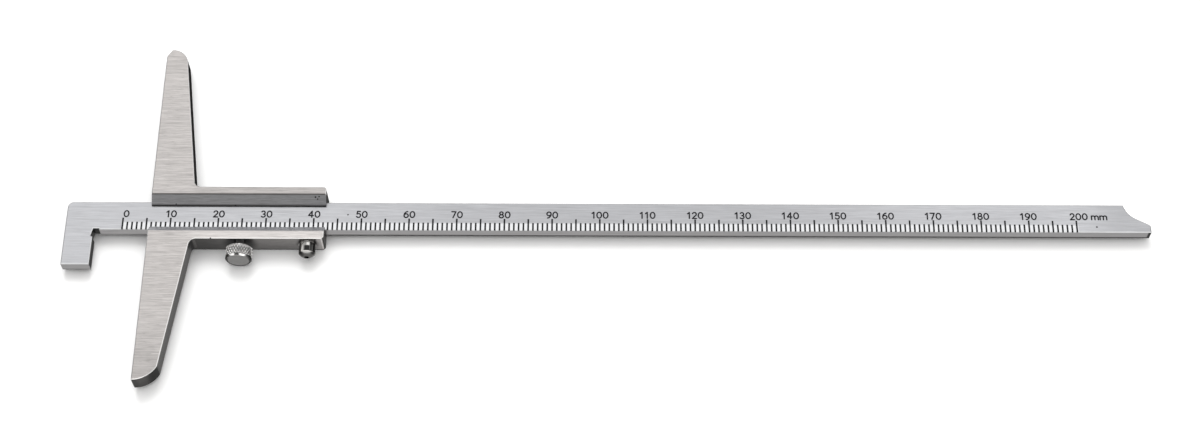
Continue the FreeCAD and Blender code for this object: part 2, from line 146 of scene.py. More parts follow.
TAIL_ALONG = mm(176.0, 187.0)
TAIL_TONE = 0.86
TAIL_SWEEP = (0.1, 0.3)
TAIL_SWEEP_SHADE = 0.3
TAIL_END = mm(190.7, 191.0)
TAIL_END_SHADE = 0.95
BEAM_NICKS = (
    (Vector((23.0, 0.35, 3.6)) * MM, 0.22 * MM),
    (Vector((180.1, -1.99, 3.6)) * MM, 0.25 * MM),
)

# The slide's faces that can be seen from above, with a painted bluish reflection on the bevels, a painted
# highlight on the lower rail's top and painted shade on the upper rail's top.
BEVEL_TILT = (0.75, 0.78, 0.88, 0.92)
BEVEL_REFLECTION_TINT = (1.07, 1.12, 1.18)
BEVEL_STREAKS = mm(3.0, 0.2, 0.2)
BEVEL_STREAK_SPREAD = (0.4, 0.65)
BEVEL_STREAK_TONE = 0.84
SLIDE_LEVEL = (0.92, 0.97)
RAILS_ALONG = mm(-13, -7)
LOWER_RAIL = mm(-6.3, -6.0, -4.2, -4.1)
LOWER_RAIL_HIGHLIGHT = 1.24
UPPER_RAIL = mm(4.2, 4.3, 6.3, 6.6)
UPPER_RAIL_SHADE = 0.9
SCRATCHES = mm(2.4, 0.13, 0.13)
SCRATCH_TURN = 2.5
SCRATCH_SPREAD = (0.63, 0.72)
SCRATCH_TONE = 0.66
ARM_END = mm(-37, -24)
ARM_END_TONE = 0.88

# The slide's upright faces, with painted light and shade: darker than the tops, lighter towards the far end
# and the top, darker near the arm and in the fillets, lit or shaded by how far they turn towards +X, and
# darker at the lower arm's tip.
WALL_ALONG = mm(-10, 15)
WALL_LIGHT = (0.19, 0.44)
WALL_HEIGHT = mm(0.2, 4.8)
WALL_HEIGHT_LIGHT = (0.7, 1.25)
WALL_END = mm(15.6, 17.6)
WALL_END_LIGHT = 0.4
ROOT_ACROSS = mm(-9.5, -7)
ROOT_ALONG = mm(-9, 4)
ROOT_SHADE = 0.5
LIT_TURN = (0.1, 0.3, 0.45, 0.62)
DARK_TURN = (0.55, 0.7, 0.86, 0.93)
DARK_TURN_SHADE = 0.7
ARM_TIP = mm(-35, -34.5)
ARM_TIP_SHADE = 0.42

# Painted shade and shadow on the slide, at its far end, on the rail round each screw, at its foot and along
# its lips, a dark line along the upper bevel's top, and real dark nicks. Screw roots and nicks each have
# their place and radius.
FAR_END = mm(17.9, 18.1)
FAR_END_TURN = (0.55, 0.8)
FAR_END_SHADE = 0.97
SCREW_ROOTS = (
    (Vector((0.7, -6.1, 2.78)) * MM, 4.4 * MM),
    (Vector((14.85, -6.1, 2.78)) * MM, 2.8 * MM),
)
SCREW_ROOT_SHADOW = 0.92
SLIDE_FOOT = mm(0.05, 0.6)
SLIDE_FOOT_SHADOW = 0.95
UNDER_LIPS = mm(-2.9, -2.85, 2.35, 2.4)
UPPER_LIP_SIDE = mm(-0.1, 0.1)
LIP_EDGE_HEIGHT = mm(4.0, 4.16)
LIP_EDGE_SHADOW = 0.6
BEVEL_TOP = mm(4.18, 4.26, 4.46, 4.54)
BEVEL_TOP_DARKENING = 0.6
NICKS = (
    (Vector((16.1, 3.85, 4.85)) * MM, 0.24 * MM),
    (Vector((16.55, 3.5, 4.65)) * MM, 0.2 * MM),
    (Vector((16.85, 3.95, 4.9)) * MM, 0.2 * MM),
    (Vector((-0.7, 2.27, 3.9)) * MM, 0.22 * MM),
    (Vector((-13.2, 2.5, 4.1)) * MM, 0.18 * MM),
    (Vector((-5.1, -6.1, 5.1)) * MM, 0.2 * MM),
)

# Painted shade on the clamp screw, placed by radius, by depth from its outer end and by height over its axis.
GROOVE_RADII = mm(2.54, 2.64)
KNURL_DEPTHS = mm(0.34, 0.36, 2.64, 2.66)
RING_RADII = mm(2.5, 2.54)
RING_DEPTHS = mm(0.34, 0.36)
RING_SIDES = (0.55, 0.72)
RING_MIDDLE = (0.08, 0.22)
RING_LOWER_HALF = mm(-0.4, 0.6)
FACE_RIM = mm(2.16, 2.28, 2.53, 2.55)
FACE_DEPTH = mm(0.01, 0.02)
FACE_LOWER_PART = mm(0.4, 1.6)
SCREW_SHADE = 0.95

# Painted shade and a dark painted reflection on the keeper screw, placed by depth from its outer end, by
# radius and by how far it faces along X.
KEEPER_BODY = mm(0.75, 0.85)
KEEPER_RIGHT = (0.3, 0.44)
KEEPER_FAR_RIGHT = (0.66, 0.76)
KEEPER_RIGHT_SHADE = (0.95, 0.8)
KEEPER_LEFT = (-0.52, -0.4, -0.06, 0.1)
KEEPER_LEFT_SHADE = 0.6
KEEPER_DOME = mm(0.55, 0.85)
KEEPER_DOME_SHADE = 0.55
KEEPER_EDGE = (-0.95, -0.88)
KEEPER_EDGE_SHADE = 0.9
KEEPER_DARK_REFLECTION = mm(0.75, 0.9, 1.95, 2.2)
KEEPER_DARK_REFLECTION_TURN = (-0.35, -0.2, 0.35, 0.5)
KEEPER_DARK_REFLECTION_SHARE = 0.98
KEEPER_HOLE = mm(0.5, 0.54)

# The surroundings, by direction. The light tent is darker round its opening, a fixed
# direction, which is where the photo's camera looks in.
STUDIO_TINT = (1.0, 0.995, 0.985, 1.0)
LOW_SPREAD = (0.25, 0.8)
LOW_LIGHT = (0.62, 0.05)
FAR_SIDE = (0.4, 0.48)
DEEP = (-0.72, -0.58)
DEEP_SHADE = 0.96
OPENING = (0.0, -0.47, 0.883)
OPENING_SPREAD = (0.72, 0.97)
OPENING_LIGHT = (1.0, 0.42)
HIGH_SPREAD = (-0.3, 0.5)
HIGH_LIGHT = (0.62, 1.2)
HORIZON = (0.0, 0.36)
STRIP_SPREAD = (0.6, 0.8)
FRONT_WINDOW = (-0.05, 0.25, 0.5, 0.68)
FRONT_LIGHT = 1.5
FLANK_WINDOW = (0.0, 0.1, 0.3, 0.42)
FLANK_LIGHT = 1.3

# The lamps' aim, and each lamp's name, place, size and power.
LAMP_AIM = Vector((0.07, 0.0, 0.0))
LAMPS = (
    ("key", Vector((-0.08, 0.74, 0.92)), 0.7, 7.0),
    ("fill", Vector((0.07, 0.1, 1.2)), 1.6, 6.0),
)
TABLE_SIZE = 2.5

# The camera of the photograph: place, tilt from straight down, small turns, and focal length.
CAMERA_PLACE = Vector((75.63 * MM, -215.4 * MM, 407.71 * MM))
CAMERA_TILT = math.radians(28.033)
CAMERA_YAW = math.radians(-0.083)
CAMERA_ROLL = math.radians(0.26)
FOCAL_PIXELS = 2180.67
PHOTO_WIDTH = 1200
SENSOR = 36.0


def node(tree, kind, inputs=None, **settings):
    """Add a shader node. Each input is a number, a colour or another node's socket."""
    made = tree.nodes.new(kind)
    for name, setting in settings.items():
        setattr(made, name, setting)
    for name, given in (inputs or {}).items():
        if isinstance(given, bpy.types.NodeSocket):
            tree.links.new(given, made.inputs[name])
        else:
            made.inputs[name].default_value = given
    return made


def combine(tree, operation, first, second):
    """One number worked out from two."""
    return node(tree, "ShaderNodeMath", {0: first, 1: second}, operation=operation).outputs[0]


def folded(tree, operation, parts):
    """One number worked out from several."""
    total = parts[0]
    for part in parts[1:]:
        total = combine(tree, operation, total, part)
    return total


def every(tree, *parts):
    """The product of several numbers."""
    return folded(tree, "MULTIPLY", parts)


def largest(tree, *parts):
    """The largest of several numbers."""
    return folded(tree, "MAXIMUM", parts)


def rest_of(tree, share):
    """What is left of 1."""
    return combine(tree, "SUBTRACT", 1.0, share)


def remap(tree, given, low, high, to_low, to_high):
    """Stretch a number from one range to another, and clamp it there."""
    inputs = {"Value": given, "From Min": low, "From Max": high, "To Min": to_low, "To Max": to_high}
    return node(tree, "ShaderNodeMapRange", inputs, interpolation_type="SMOOTHSTEP").outputs["Result"]


def rising(tree, given, start, end, top=1.0):
    """0 where a number lies before start, and top beyond end."""
    return remap(tree, given, start, end, 0.0, top)


def falling(tree, given, start, end, top=1.0):
    """The share called top where a number lies before start, and 0 beyond end."""
    return remap(tree, given, start, end, top, 0.0)


def within(tree, given, rise_from, rise_to, fall_from, fall_to):
    """1 where a number lies in a range with soft ends, and 0 outside it."""
    return every(tree, rising(tree, given, rise_from, rise_to), falling(tree, given, fall_from, fall_to))


def blend(tree, factor, first, second, blend_type="MIX"):
    """Mix two colours."""
    mix = node(tree, "ShaderNodeMix", {"Factor": factor}, data_type="RGBA", blend_type=blend_type)
    for name, given in (("A", first), ("B", second)):
        socket = next(s for s in mix.inputs if s.name == name and s.type == "RGBA")
        if isinstance(given, bpy.types.NodeSocket):
            tree.links.new(given, socket)
        else:
            socket.default_value = (*given, 1.0)
    return next(s for s in mix.outputs if s.type == "RGBA")


def noise(tree, place, detail=3.0, roughness=0.6):
    """Noise with one feature per unit of place."""
    inputs = {"Vector": place, "Scale": 1.0, "Detail": detail, "Roughness": roughness}
    return node(tree, "ShaderNodeTexNoise", inputs).outputs["Fac"]


def stretched(tree, place, sizes, offset=0.0, turn=0.0):
    """Scale a place so that noise has features of three sizes there, turned about Z by turn degrees."""
    turned = {"Vector": place, "Rotation": (0.0, 0.0, math.radians(turn))}
    along = node(tree, "ShaderNodeMapping", turned).outputs["Vector"] if turn else place
    inputs = {"Vector": along, "Scale": [1.0 / size for size in sizes], "Location": (offset, offset, offset)}
    return node(tree, "ShaderNodeMapping", inputs).outputs["Vector"]


def split_up(tree, given):
    """The X, Y and Z of a place or a direction."""
    return node(tree, "ShaderNodeSeparateXYZ", {0: given}).outputs


def distance(tree, place, centre):
    """How far a place lies from a point."""
    return node(tree, "ShaderNodeVectorMath", {0: place, 1: centre}, operation="DISTANCE").outputs["Value"]


def facing(tree, axis):
    """How far the surface faces along one of the piece's axes, from -1 to 1."""
    return split_up(tree, node(tree, "ShaderNodeTexCoord").outputs["Normal"])[axis]


def upright(tree):
    """1 on the piece's upright faces."""
    return falling(tree, facing(tree, "Z"), *UPRIGHT)


def on_rim(tree):
    """1 on the broken edges, which lie halfway between level and upright."""
    return within(tree, facing(tree, "Z"), *RIM_TILT)


def spot(tree, place, centre, radius):
    """1 near a point and 0 away from it."""
    return falling(tree, distance(tree, place, centre), 0.5 * radius, radius)


def new_material(name, metallic=1.0, roughness=0.35):
    """A material with its principled shader and the place on the piece, in metres."""
    material = bpy.data.materials.new(name)
    material.use_nodes = True
    tree = material.node_tree
    shader = tree.nodes["Principled BSDF"]
    shader.inputs["Metallic"].default_value = metallic
    shader.inputs["Roughness"].default_value = roughness
    place = node(tree, "ShaderNodeTexCoord").outputs["Object"]
    return material, tree, shader, place


def add_bump(tree, shader, height, strength, depth):
    """Raise and lower the surface's shading by a number from 0 to 1."""
    bump = node(tree, "ShaderNodeBump", {"Height": height, "Strength": strength, "Distance": depth})
    tree.links.new(bump.outputs["Normal"], shader.inputs["Normal"])


def shades(colour, darker, lighter):
    """A colour made darker by one share and lighter by another."""
    dark = tuple(channel * (1.0 - darker) for channel in colour)
    light = tuple(min(1.0, channel * (1.0 + lighter)) for channel in colour)
    return dark, light


def soiled(tree, tone, amount):
    """Darken a tone towards near-black, for real nicks and for painted shade and shadow."""
    return blend(tree, amount, tone, NICK_AND_SHADE_BLACK)


def dimmed(tree, tone, amount, factor):
    """Multiply a tone by a factor, or by one for each channel, where amount is 1."""
    factors = factor if isinstance(factor, tuple) else (factor,) * 3
    return blend(tree, amount, tone, blend(tree, 1.0, tone, factors, "MULTIPLY"))


def broken_edges(tree, tone, rim, far_rim):
    """Paint highlights on the broken edges, and painted shade on those towards +Y."""
    far = rising(tree, facing(tree, "Y"), *RIM_FAR_SIDE)
    return blend(tree, on_rim(tree), tone, blend(tree, far, rim, far_rim))


def brushed_grain(tree, place, grain, cross):
    """Streaks along X of grain[0] by grain[1] mm, with two more sets at a slight angle, from 0 to 1."""
    total = None
    for scale, offset, turn, weight in GRAIN_SETS:
        sizes = (grain[0] * scale * MM, grain[1] * scale * MM, grain[1] * scale * MM)
        streaks = noise(tree, stretched(tree, place, sizes, offset, turn * cross), detail=3.0, roughness=0.65)
        share = every(tree, streaks, weight)
        total = combine(tree, "ADD", total, share) if total else share
    return total


def brushed_metal(name, colour, roughness, grain, contrast, depth, cross):
    """Metal brushed along X, with streaks in its colour, gloss and height.

    cross is the angle between its sets of streaks in degrees, and depth the streaks' depth in mm. It returns
    the parts that the metal is built of.
    """
    material, tree, shader, place = new_material(name)
    grains = brushed_grain(tree, place, grain, cross)
    patches = noise(tree, stretched(tree, place, PATCH_SIZES, offset=3.0), detail=2.0, roughness=0.5)
    dark, light = shades(colour, contrast, 0.5 * contrast)
    streaked = blend(tree, rising(tree, grains, *GRAIN_SPREAD), dark, light)
    worn = tuple(channel * WORN_TONE for channel in colour)
    tone = blend(tree, rising(tree, patches, *PATCH_SPREAD, PATCH_SHARE), streaked, worn)
    gloss = remap(tree, grains, *GLOSS_SPREAD, roughness + DULLER, roughness - GLOSSIER)
    tree.links.new(gloss, shader.inputs["Roughness"])
    add_bump(tree, shader, grains, GRAIN_BUMP, depth * MM)
    return material, tree, shader, place, tone


def beam_finish():
    """The beam: satin steel, rubbed where its marks are, with painted shade on its sides, inside its hook, in
    its recess and at its tail, painted shadow at its foot and painted highlights on its broken edges.
    """
    material, tree, shader, place, tone = brushed_metal(
        "beam_steel", BEAM_STEEL, roughness=0.34, grain=(7.0, 0.16), contrast=0.2, depth=0.003, cross=1.5)
    split = split_up(tree, place)
    level = rising(tree, facing(tree, "Z"), *BEAM_LEVEL)
    middle = within(tree, split["X"], *BEAM_MIDDLE)
    tone = dimmed(tree, tone, every(tree, middle, level), BEAM_MIDDLE_TONE)
    across = falling(tree, split["Y"], *RUBBED_ACROSS)
    along = within(tree, split["X"], *RUBBED_ALONG)
    tone = blend(tree, every(tree, across, along, level), tone, RUBBED_STEEL)
    # Painted shade: the beam's upright faces are made darker and warmer than its tops.
    tone = dimmed(tree, tone, upright(tree), BEAM_SIDE_SHADE)
    # Painted highlights on the broken edges, painted shade on those towards +Y.
    tone = broken_edges(tree, tone, *BEAM_RIM_HIGHLIGHTS)
    # Painted shadow along the beam's foot, fainter at the hook.
    foot = every(tree, falling(tree, split["Z"], *BEAM_FOOT),
                 remap(tree, split["X"], *BEAM_FOOT_ALONG, *BEAM_FOOT_SHADOW))
    tone = soiled(tree, tone, foot)

    # Painted shade on the hook's inner faces, which face +X.
    inward = rising(tree, facing(tree, "X"), *HOOK_INSIDE)
    at_hook = falling(tree, split["X"], *HOOK_ALONG)
    hook_shade = every(tree, inward, at_hook, falling(tree, split["Z"], *HOOK_INSIDE_HEIGHT))
    tone = soiled(tree, tone, hook_shade)
    tail = rising(tree, split["X"], *TAIL_ALONG)
    tone = dimmed(tree, tone, every(tree, tail, level), TAIL_TONE)
    # Painted shade on the tail's broken edges that face +X.
    sweep_shade = every(tree, on_rim(tree), tail, rising(tree, facing(tree, "X"), *TAIL_SWEEP))
    tone = dimmed(tree, tone, sweep_shade, TAIL_SWEEP_SHADE)
    # Painted shade on the upright faces at the beam's far end.
    tail_end_shade = every(tree, upright(tree), rising(tree, split["X"], *TAIL_END, TAIL_END_SHADE))
    tone = soiled(tree, tone, tail_end_shade)
    # Painted shade on the upright faces of the recess at the hook.
    recess_shade = within(tree, split["Y"], *HOOK_RECESS)
    tone = soiled(tree, tone, every(tree, upright(tree), at_hook, recess_shade))
    for centre, radius in BEAM_NICKS:
        tone = soiled(tree, tone, spot(tree, place, centre, radius))
    tree.links.new(tone, shader.inputs["Base Color"])
    return material


def slide_tops(tree, place, split, tone, bevel):
    """The tone of the slide's bevels and of its level faces, with a painted reflection on the bevels, a
    painted highlight on the lower rail's top and painted shade on the upper rail's top.
    """
    # Painted reflection: the bevels are made lighter and bluer.
    tone = dimmed(tree, tone, bevel, BEVEL_REFLECTION_TINT)
    streaks = noise(tree, stretched(tree, place, BEVEL_STREAKS, offset=31.0))
    streaked = every(tree, bevel, rising(tree, streaks, *BEVEL_STREAK_SPREAD))
    tone = dimmed(tree, tone, streaked, BEVEL_STREAK_TONE)
    level = rising(tree, facing(tree, "Z"), *SLIDE_LEVEL)
    on_rails = rising(tree, split["X"], *RAILS_ALONG)
    # A painted highlight on the lower rail's top, and painted shade on the upper rail's top.
    for across, factor in ((LOWER_RAIL, LOWER_RAIL_HIGHLIGHT), (UPPER_RAIL, UPPER_RAIL_SHADE)):
        tone = dimmed(tree, tone, every(tree, level, within(tree, split["Y"], *across), on_rails), factor)
    scratches = noise(tree, stretched(tree, place, SCRATCHES, 21.0, SCRATCH_TURN), detail=2.0, roughness=0.5)
    tone = dimmed(tree, tone, every(tree, level, rising(tree, scratches, *SCRATCH_SPREAD)), SCRATCH_TONE)
    arm_end = every(tree, level, falling(tree, split["Y"], *ARM_END))
    return dimmed(tree, tone, arm_end, ARM_END_TONE)


def slide_walls(tree, split, tone):
    """The tone of the slide's upright faces, with painted light and shade."""
    # Painted light and shade on the upright faces: lighter along and up the walls, darker at the arm's root,
    # lit or shaded by their turn towards +X.
    lit = every(tree, remap(tree, split["X"], *WALL_ALONG, *WALL_LIGHT),
                remap(tree, split["Z"], *WALL_HEIGHT, *WALL_HEIGHT_LIGHT))
    lit = combine(tree, "ADD", lit, rising(tree, split["X"], *WALL_END, WALL_END_LIGHT))
    root_shade = every(tree, rising(tree, split["Y"], *ROOT_ACROSS, ROOT_SHADE),
                 falling(tree, split["X"], *ROOT_ALONG))
    lit = every(tree, lit, rest_of(tree, root_shade))
    turn = facing(tree, "X")
    lit = every(tree, lit, combine(tree, "ADD", 1.0, within(tree, turn, *LIT_TURN)))
    lit = every(tree, lit, rest_of(tree, every(tree, within(tree, turn, *DARK_TURN), DARK_TURN_SHADE)))
    factors = node(tree, "ShaderNodeCombineXYZ", {"X": lit, "Y": lit, "Z": lit}).outputs[0]
    tone = blend(tree, upright(tree), tone, blend(tree, 1.0, tone, factors, "MULTIPLY"))
    # Painted shade on the lower arm's tip.
    tip_shade = every(tree, upright(tree), falling(tree, split["Y"], *ARM_TIP))
    return dimmed(tree, tone, tip_shade, ARM_TIP_SHADE)


def slide_soil(tree, place, split, tone, bevel):
    """The tone of the slide with painted shade at its far end, painted shadow round the screws, at its foot
    and along its lips, and a dark line along the upper bevel's top.
    """
    # Painted shade on the far end's faces, which face +X.
    far_end_shade = every(tree, rising(tree, facing(tree, "X"), *FAR_END_TURN), upright(tree),
                    rising(tree, split["X"], *FAR_END), FAR_END_SHADE)
    tone = soiled(tree, tone, far_end_shade)
    # Painted shadow on the rail round each screw.
    for centre, radius in SCREW_ROOTS:
        root_shade = every(tree, upright(tree), spot(tree, place, centre, radius), SCREW_ROOT_SHADOW)
        tone = soiled(tree, tone, root_shade)
    # Painted shadow along the slide's foot.
    tone = soiled(tree, tone, falling(tree, split["Z"], *SLIDE_FOOT, SLIDE_FOOT_SHADOW))
    # Painted shadow on the upright faces under the lips.
    tone = soiled(tree, tone, every(tree, upright(tree), within(tree, split["Y"], *UNDER_LIPS)))
    # Painted shadow along the lower edge of the upper lip's bevel.
    lip_edge_shadow = every(tree, bevel, falling(tree, split["Z"], *LIP_EDGE_HEIGHT, LIP_EDGE_SHADOW),
                     rising(tree, split["Y"], *UPPER_LIP_SIDE))
    tone = soiled(tree, tone, lip_edge_shadow)
    # A dark line along the top edge of the upper bevel.
    return soiled(tree, tone, every(tree, within(tree, split["Y"], *BEVEL_TOP), BEVEL_TOP_DARKENING))


def slide_finish():
    """The slide: ground steel with a painted cool reflection on its bevels, painted highlights on its broken
    edges, and darker sides with painted light and shade.
    """
    material, tree, shader, place, tone = brushed_metal(
        "slide_steel", SLIDE_STEEL, roughness=0.33, grain=(6.0, 0.17), contrast=0.34, depth=0.006, cross=3.0)
    split = split_up(tree, place)
    bevel = within(tree, facing(tree, "Z"), *BEVEL_TILT)
    tone = slide_tops(tree, place, split, tone, bevel)
    tone = slide_walls(tree, split, tone)
    tone = slide_soil(tree, place, split, tone, bevel)
    # Painted highlights on the broken edges, painted shade on those towards +Y.
    tone = broken_edges(tree, tone, *SLIDE_RIM_HIGHLIGHTS)
    for centre, radius in NICKS:
        tone = soiled(tree, tone, spot(tree, place, centre, radius))
    tree.links.new(tone, shader.inputs["Base Color"])
    return material


def spring_finish():
    """The leaf spring: dark rolled steel."""
    material, tree, shader, _, tone = brushed_metal(
        "spring_steel", SPRING_STEEL, roughness=0.28, grain=(4.0, 0.15), contrast=0.2, depth=0.003,
        cross=4.0)
    tree.links.new(tone, shader.inputs["Base Color"])
    return material


def turned_metal(name, colour, roughness, ring=0.05, contrast=0.2, depth=0.002, end_shade=1.0, painted_shade=None):
    """Metal turned about an axis along Y: fine rings of ring mm, with a little mottling.

    end_shade is how dark its outer end is made, as painted shade, and painted_shade gives how much painted
    shade each place gets, from 0 to 1.
    """
    material, tree, shader, place = new_material(name)
    rings = noise(tree, stretched(tree, place, mm(RING_LENGTH, ring, RING_LENGTH)), detail=2.0)
    mottle = noise(tree, stretched(tree, place, MOTTLE, offset=5.0))
    both = combine(tree, "ADD", every(tree, rings, 0.5), every(tree, mottle, 0.5))
    dark, light = shades(colour, contrast, 0.4 * contrast)
    tone = blend(tree, rising(tree, both, *TURNED_SPREAD), dark, light)
    # Painted shade on the outer end, which faces -Y.
    if end_shade < 1.0:
        outward = every(tree, facing(tree, "Y"), -1.0)
        tone = dimmed(tree, tone, rising(tree, outward, *OUTER_END), end_shade)
    # Painted shade where the given mask asks for it.
    if painted_shade:
        tone = soiled(tree, tone, painted_shade(tree, place))
    tree.links.new(tone, shader.inputs["Base Color"])
    gloss = remap(tree, both, *TURNED_SPREAD, roughness + TURNED_DULLER, roughness - TURNED_GLOSSIER)
    tree.links.new(gloss, shader.inputs["Roughness"])
    add_bump(tree, shader, both, TURNED_BUMP, depth * MM)
    return material


def turned_place(tree, place, piece):
    """A turned piece's distance from its axis, its height above it and its distance from its outer end."""
    low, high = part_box(piece)
    middle = (low + high) / 2
    split = split_up(tree, place)
    flat = node(tree, "ShaderNodeCombineXYZ", {"X": split["X"], "Z": split["Z"]}).outputs[0]
    radius = distance(tree, flat, Vector((middle.x, 0.0, middle.z)))
    height = combine(tree, "SUBTRACT", split["Z"], middle.z)
    return radius, height, combine(tree, "SUBTRACT", split["Y"], low.y)


def clamp_soil(tree, place):
    """Painted shade and dark painted reflections on the clamp screw: in its knurl and its turned groove,
    round its ring and round its face.
    """
    radius, height, depth = turned_place(tree, place, "clamp_screw")
    # Painted shade in the knurl's grooves.
    groove_shade = every(tree, falling(tree, radius, *GROOVE_RADII), within(tree, depth, *KNURL_DEPTHS))
    # Painted shade and dark painted reflections on the ring's sides, middle and lower half.
    aside = combine(tree, "ABSOLUTE", facing(tree, "X"), 0.0)
    dark_parts = largest(tree, rising(tree, aside, *RING_SIDES), falling(tree, aside, *RING_MIDDLE),
                         falling(tree, height, *RING_LOWER_HALF))
    ring = every(tree, rising(tree, radius, *RING_RADII), falling(tree, depth, *RING_DEPTHS, SCREW_SHADE),
                 dark_parts)
    # Painted shade round the lower part of the face.
    face = every(tree, within(tree, radius, *FACE_RIM), falling(tree, depth, *FACE_DEPTH, SCREW_SHADE),
                 falling(tree, height, *FACE_LOWER_PART))
    return largest(tree, groove_shade, ring, face)


def keeper_soil(tree, place):
    """Painted shade and a dark painted reflection on the keeper: its right side, a part left of its middle,
    its edges, its dome's start, a spot on it and its hole.
    """
    radius, _, depth = turned_place(tree, place, "keeper_screw")
    sideways = facing(tree, "X")
    body = rising(tree, depth, *KEEPER_BODY)
    # Painted shade on the right side and on a part left of the middle.
    right = every(tree, rising(tree, sideways, *KEEPER_RIGHT),
                  remap(tree, sideways, *KEEPER_FAR_RIGHT, *KEEPER_RIGHT_SHADE), body)
    left = every(tree, within(tree, sideways, *KEEPER_LEFT), body, KEEPER_LEFT_SHADE)
    # Painted shade on the edges that face -X.
    edge_shade = every(tree, falling(tree, sideways, *KEEPER_EDGE, KEEPER_EDGE_SHADE), body)
    # A dark painted reflection on the body.
    dark_reflection = every(tree, within(tree, depth, *KEEPER_DARK_REFLECTION), within(tree, sideways, *KEEPER_DARK_REFLECTION_TURN),
                      KEEPER_DARK_REFLECTION_SHARE)
    # Painted shade at the dome's start and in the hole.
    dome_shade = falling(tree, depth, *KEEPER_DOME, KEEPER_DOME_SHADE)
    hole_shade = falling(tree, radius, *KEEPER_HOLE)
    return largest(tree, right, left, edge_shade, dark_reflection, dome_shade, hole_shade)


def mark_ink(name, colour, roughness=0.55):
    """The black or grey filling of engraved marks, with slightly uneven cover."""
    material, tree, shader, place = new_material(name, 0.0, roughness)
    cover = noise(tree, stretched(tree, place, INK_PATCHES), detail=2.0)
    worn = tuple(channel * 1.8 + 0.01 for channel in colour)
    tone = blend(tree, rising(tree, cover, *INK_SPREAD, INK_SHARE), colour, worn)
    tree.links.new(tone, shader.inputs["Base Color"])
    shader.inputs["Specular IOR Level"].default_value = INK_SHEEN
    add_bump(tree, shader, cover, 0.2, 0.003 * MM)
    return material


def set_material(name, material):
    """Give a CAD node its finish."""
    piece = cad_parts[name]
    for slot in piece.material_slots:
        slot.material = material
    if not piece.material_slots:
        piece.data.materials.append(material)


def arc(x, y, width, height, start, end, steps=14):
    """Points along an ellipse's arc about (x, y), from one angle to another in degrees."""
    turns = [math.radians(start + (end - start) * step / steps) for step in range(steps + 1)]
    return [(x + width * math.cos(turn), y + height * math.sin(turn)) for turn in turns]


# Engraver's figures: each is its width and its strokes, in shares of the figures' height.
GLYPHS = {
    "0": (0.68, [arc(0.34, 0.5, 0.34, 0.5, 0, 360)]),
    "1": (0.5, [[(0.06, 0.78), (0.32, 1.0)], [(0.32, 1.0), (0.32, 0.0)]]),
    "2": (0.6, [arc(0.3, 0.72, 0.28, 0.28, 165, -35) + [(0.0, 0.0)], [(0.0, 0.0), (0.6, 0.0)]]),
    "3": (0.6, [arc(0.29, 0.75, 0.26, 0.25, 150, -90), arc(0.29, 0.25, 0.3, 0.25, 90, -150)]),
    "4": (0.7, [[(0.5, 1.0), (0.02, 0.3)], [(0.02, 0.3), (0.7, 0.3)], [(0.5, 1.0), (0.5, 0.0)]]),
    "5": (0.6, [[(0.54, 1.0), (0.13, 1.0)], [(0.13, 1.0), (0.08, 0.56)],
                arc(0.29, 0.32, 0.31, 0.32, 130, -150)]),
    "6": (0.62, [arc(0.31, 0.31, 0.31, 0.31, 0, 360), arc(0.56, 0.31, 0.56, 0.69, 180, 95)]),
    "7": (0.6, [[(0.0, 1.0), (0.6, 1.0)], [(0.6, 1.0), (0.2, 0.0)]]),
    "8": (0.62, [arc(0.31, 0.76, 0.24, 0.24, 0, 360), arc(0.31, 0.26, 0.31, 0.26, 0, 360)]),
    "9": (0.62, [arc(0.31, 0.69, 0.31, 0.31, 0, 360), arc(0.06, 0.69, 0.56, 0.69, 0, -85)]),
    "m": (0.98, [[(0.0, 0.64), (0.0, 0.0)], arc(0.245, 0.42, 0.245, 0.22, 180, 0) + [(0.49, 0.0)],
                 arc(0.735, 0.42, 0.245, 0.22, 180, 0) + [(0.98, 0.0)]]),
}


def add_stroke(mesh, points, width, normal, rounded=True):
    """Add a flat ribbon along points and return its faces. Its ends are round unless it closes on itself."""
    closed = (points[0] - points[-1]).length < 0.01 * width
    path = points[:-1] if closed else points
    count = len(path)
    rails = []
    for index, point in enumerate(path):
        before = path[index - 1] if closed or index else point
        after = path[(index + 1) % count] if closed or index < count - 1 else point
        across = normal.cross((after - before).normalized()) * (width / 2)
        rails.append((mesh.verts.new(point + across), mesh.verts.new(point - across)))
    faces = []
    for index in range(count if closed else count - 1):
        left, right = rails[index]
        far_left, far_right = rails[(index + 1) % count]
        faces.append(mesh.faces.new((right, far_right, far_left, left)))
    if rounded and not closed:
        for (left, right), point, beyond in ((rails[0], path[0], path[1]), (rails[-1], path[-1], path[-2])):
            outward = (point - beyond).normalized() * (width / 2)
            side = left.co - point
            bend = [mesh.verts.new(point + side * math.cos(turn) + outward * math.sin(turn))
                    for turn in (math.pi / 4, math.pi / 2, math.pi * 3 / 4)]
            faces.append(mesh.faces.new((left, *bend, right)))
    return faces


def thicken(mesh, faces, normal):
    """Give flat marks that lie on the surface their height above it and their depth below it."""
    corners = list({corner for face in faces for corner in face.verts})
    bmesh.ops.translate(mesh, verts=corners, vec=normal * MARK_RISE)
    grown = bmesh.ops.extrude_face_region(mesh, geom=faces)["geom"]
    moved = [item for item in grown if isinstance(item, bmesh.types.BMVert)]
    bmesh.ops.translate(mesh, verts=moved, vec=normal * -(MARK_RISE + MARK_DEPTH))


def finish_piece(name, mesh, body, material):
    """Turn mesh data into a piece that rides on a body."""
    data = bpy.data.meshes.new(name)
    bmesh.ops.recalc_face_normals(mesh, faces=mesh.faces)
    mesh.to_mesh(data)
    mesh.free()
    data.materials.append(material)
    piece = bpy.data.objects.new(name, data)
    bpy.context.scene.collection.objects.link(piece)
    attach(piece, body)
    return piece


def mark_length(number, lengths):
    """The length of a scale's mark, from the largest step that divides its number."""
    return next(length for step, length in lengths.items() if number % step == 0)


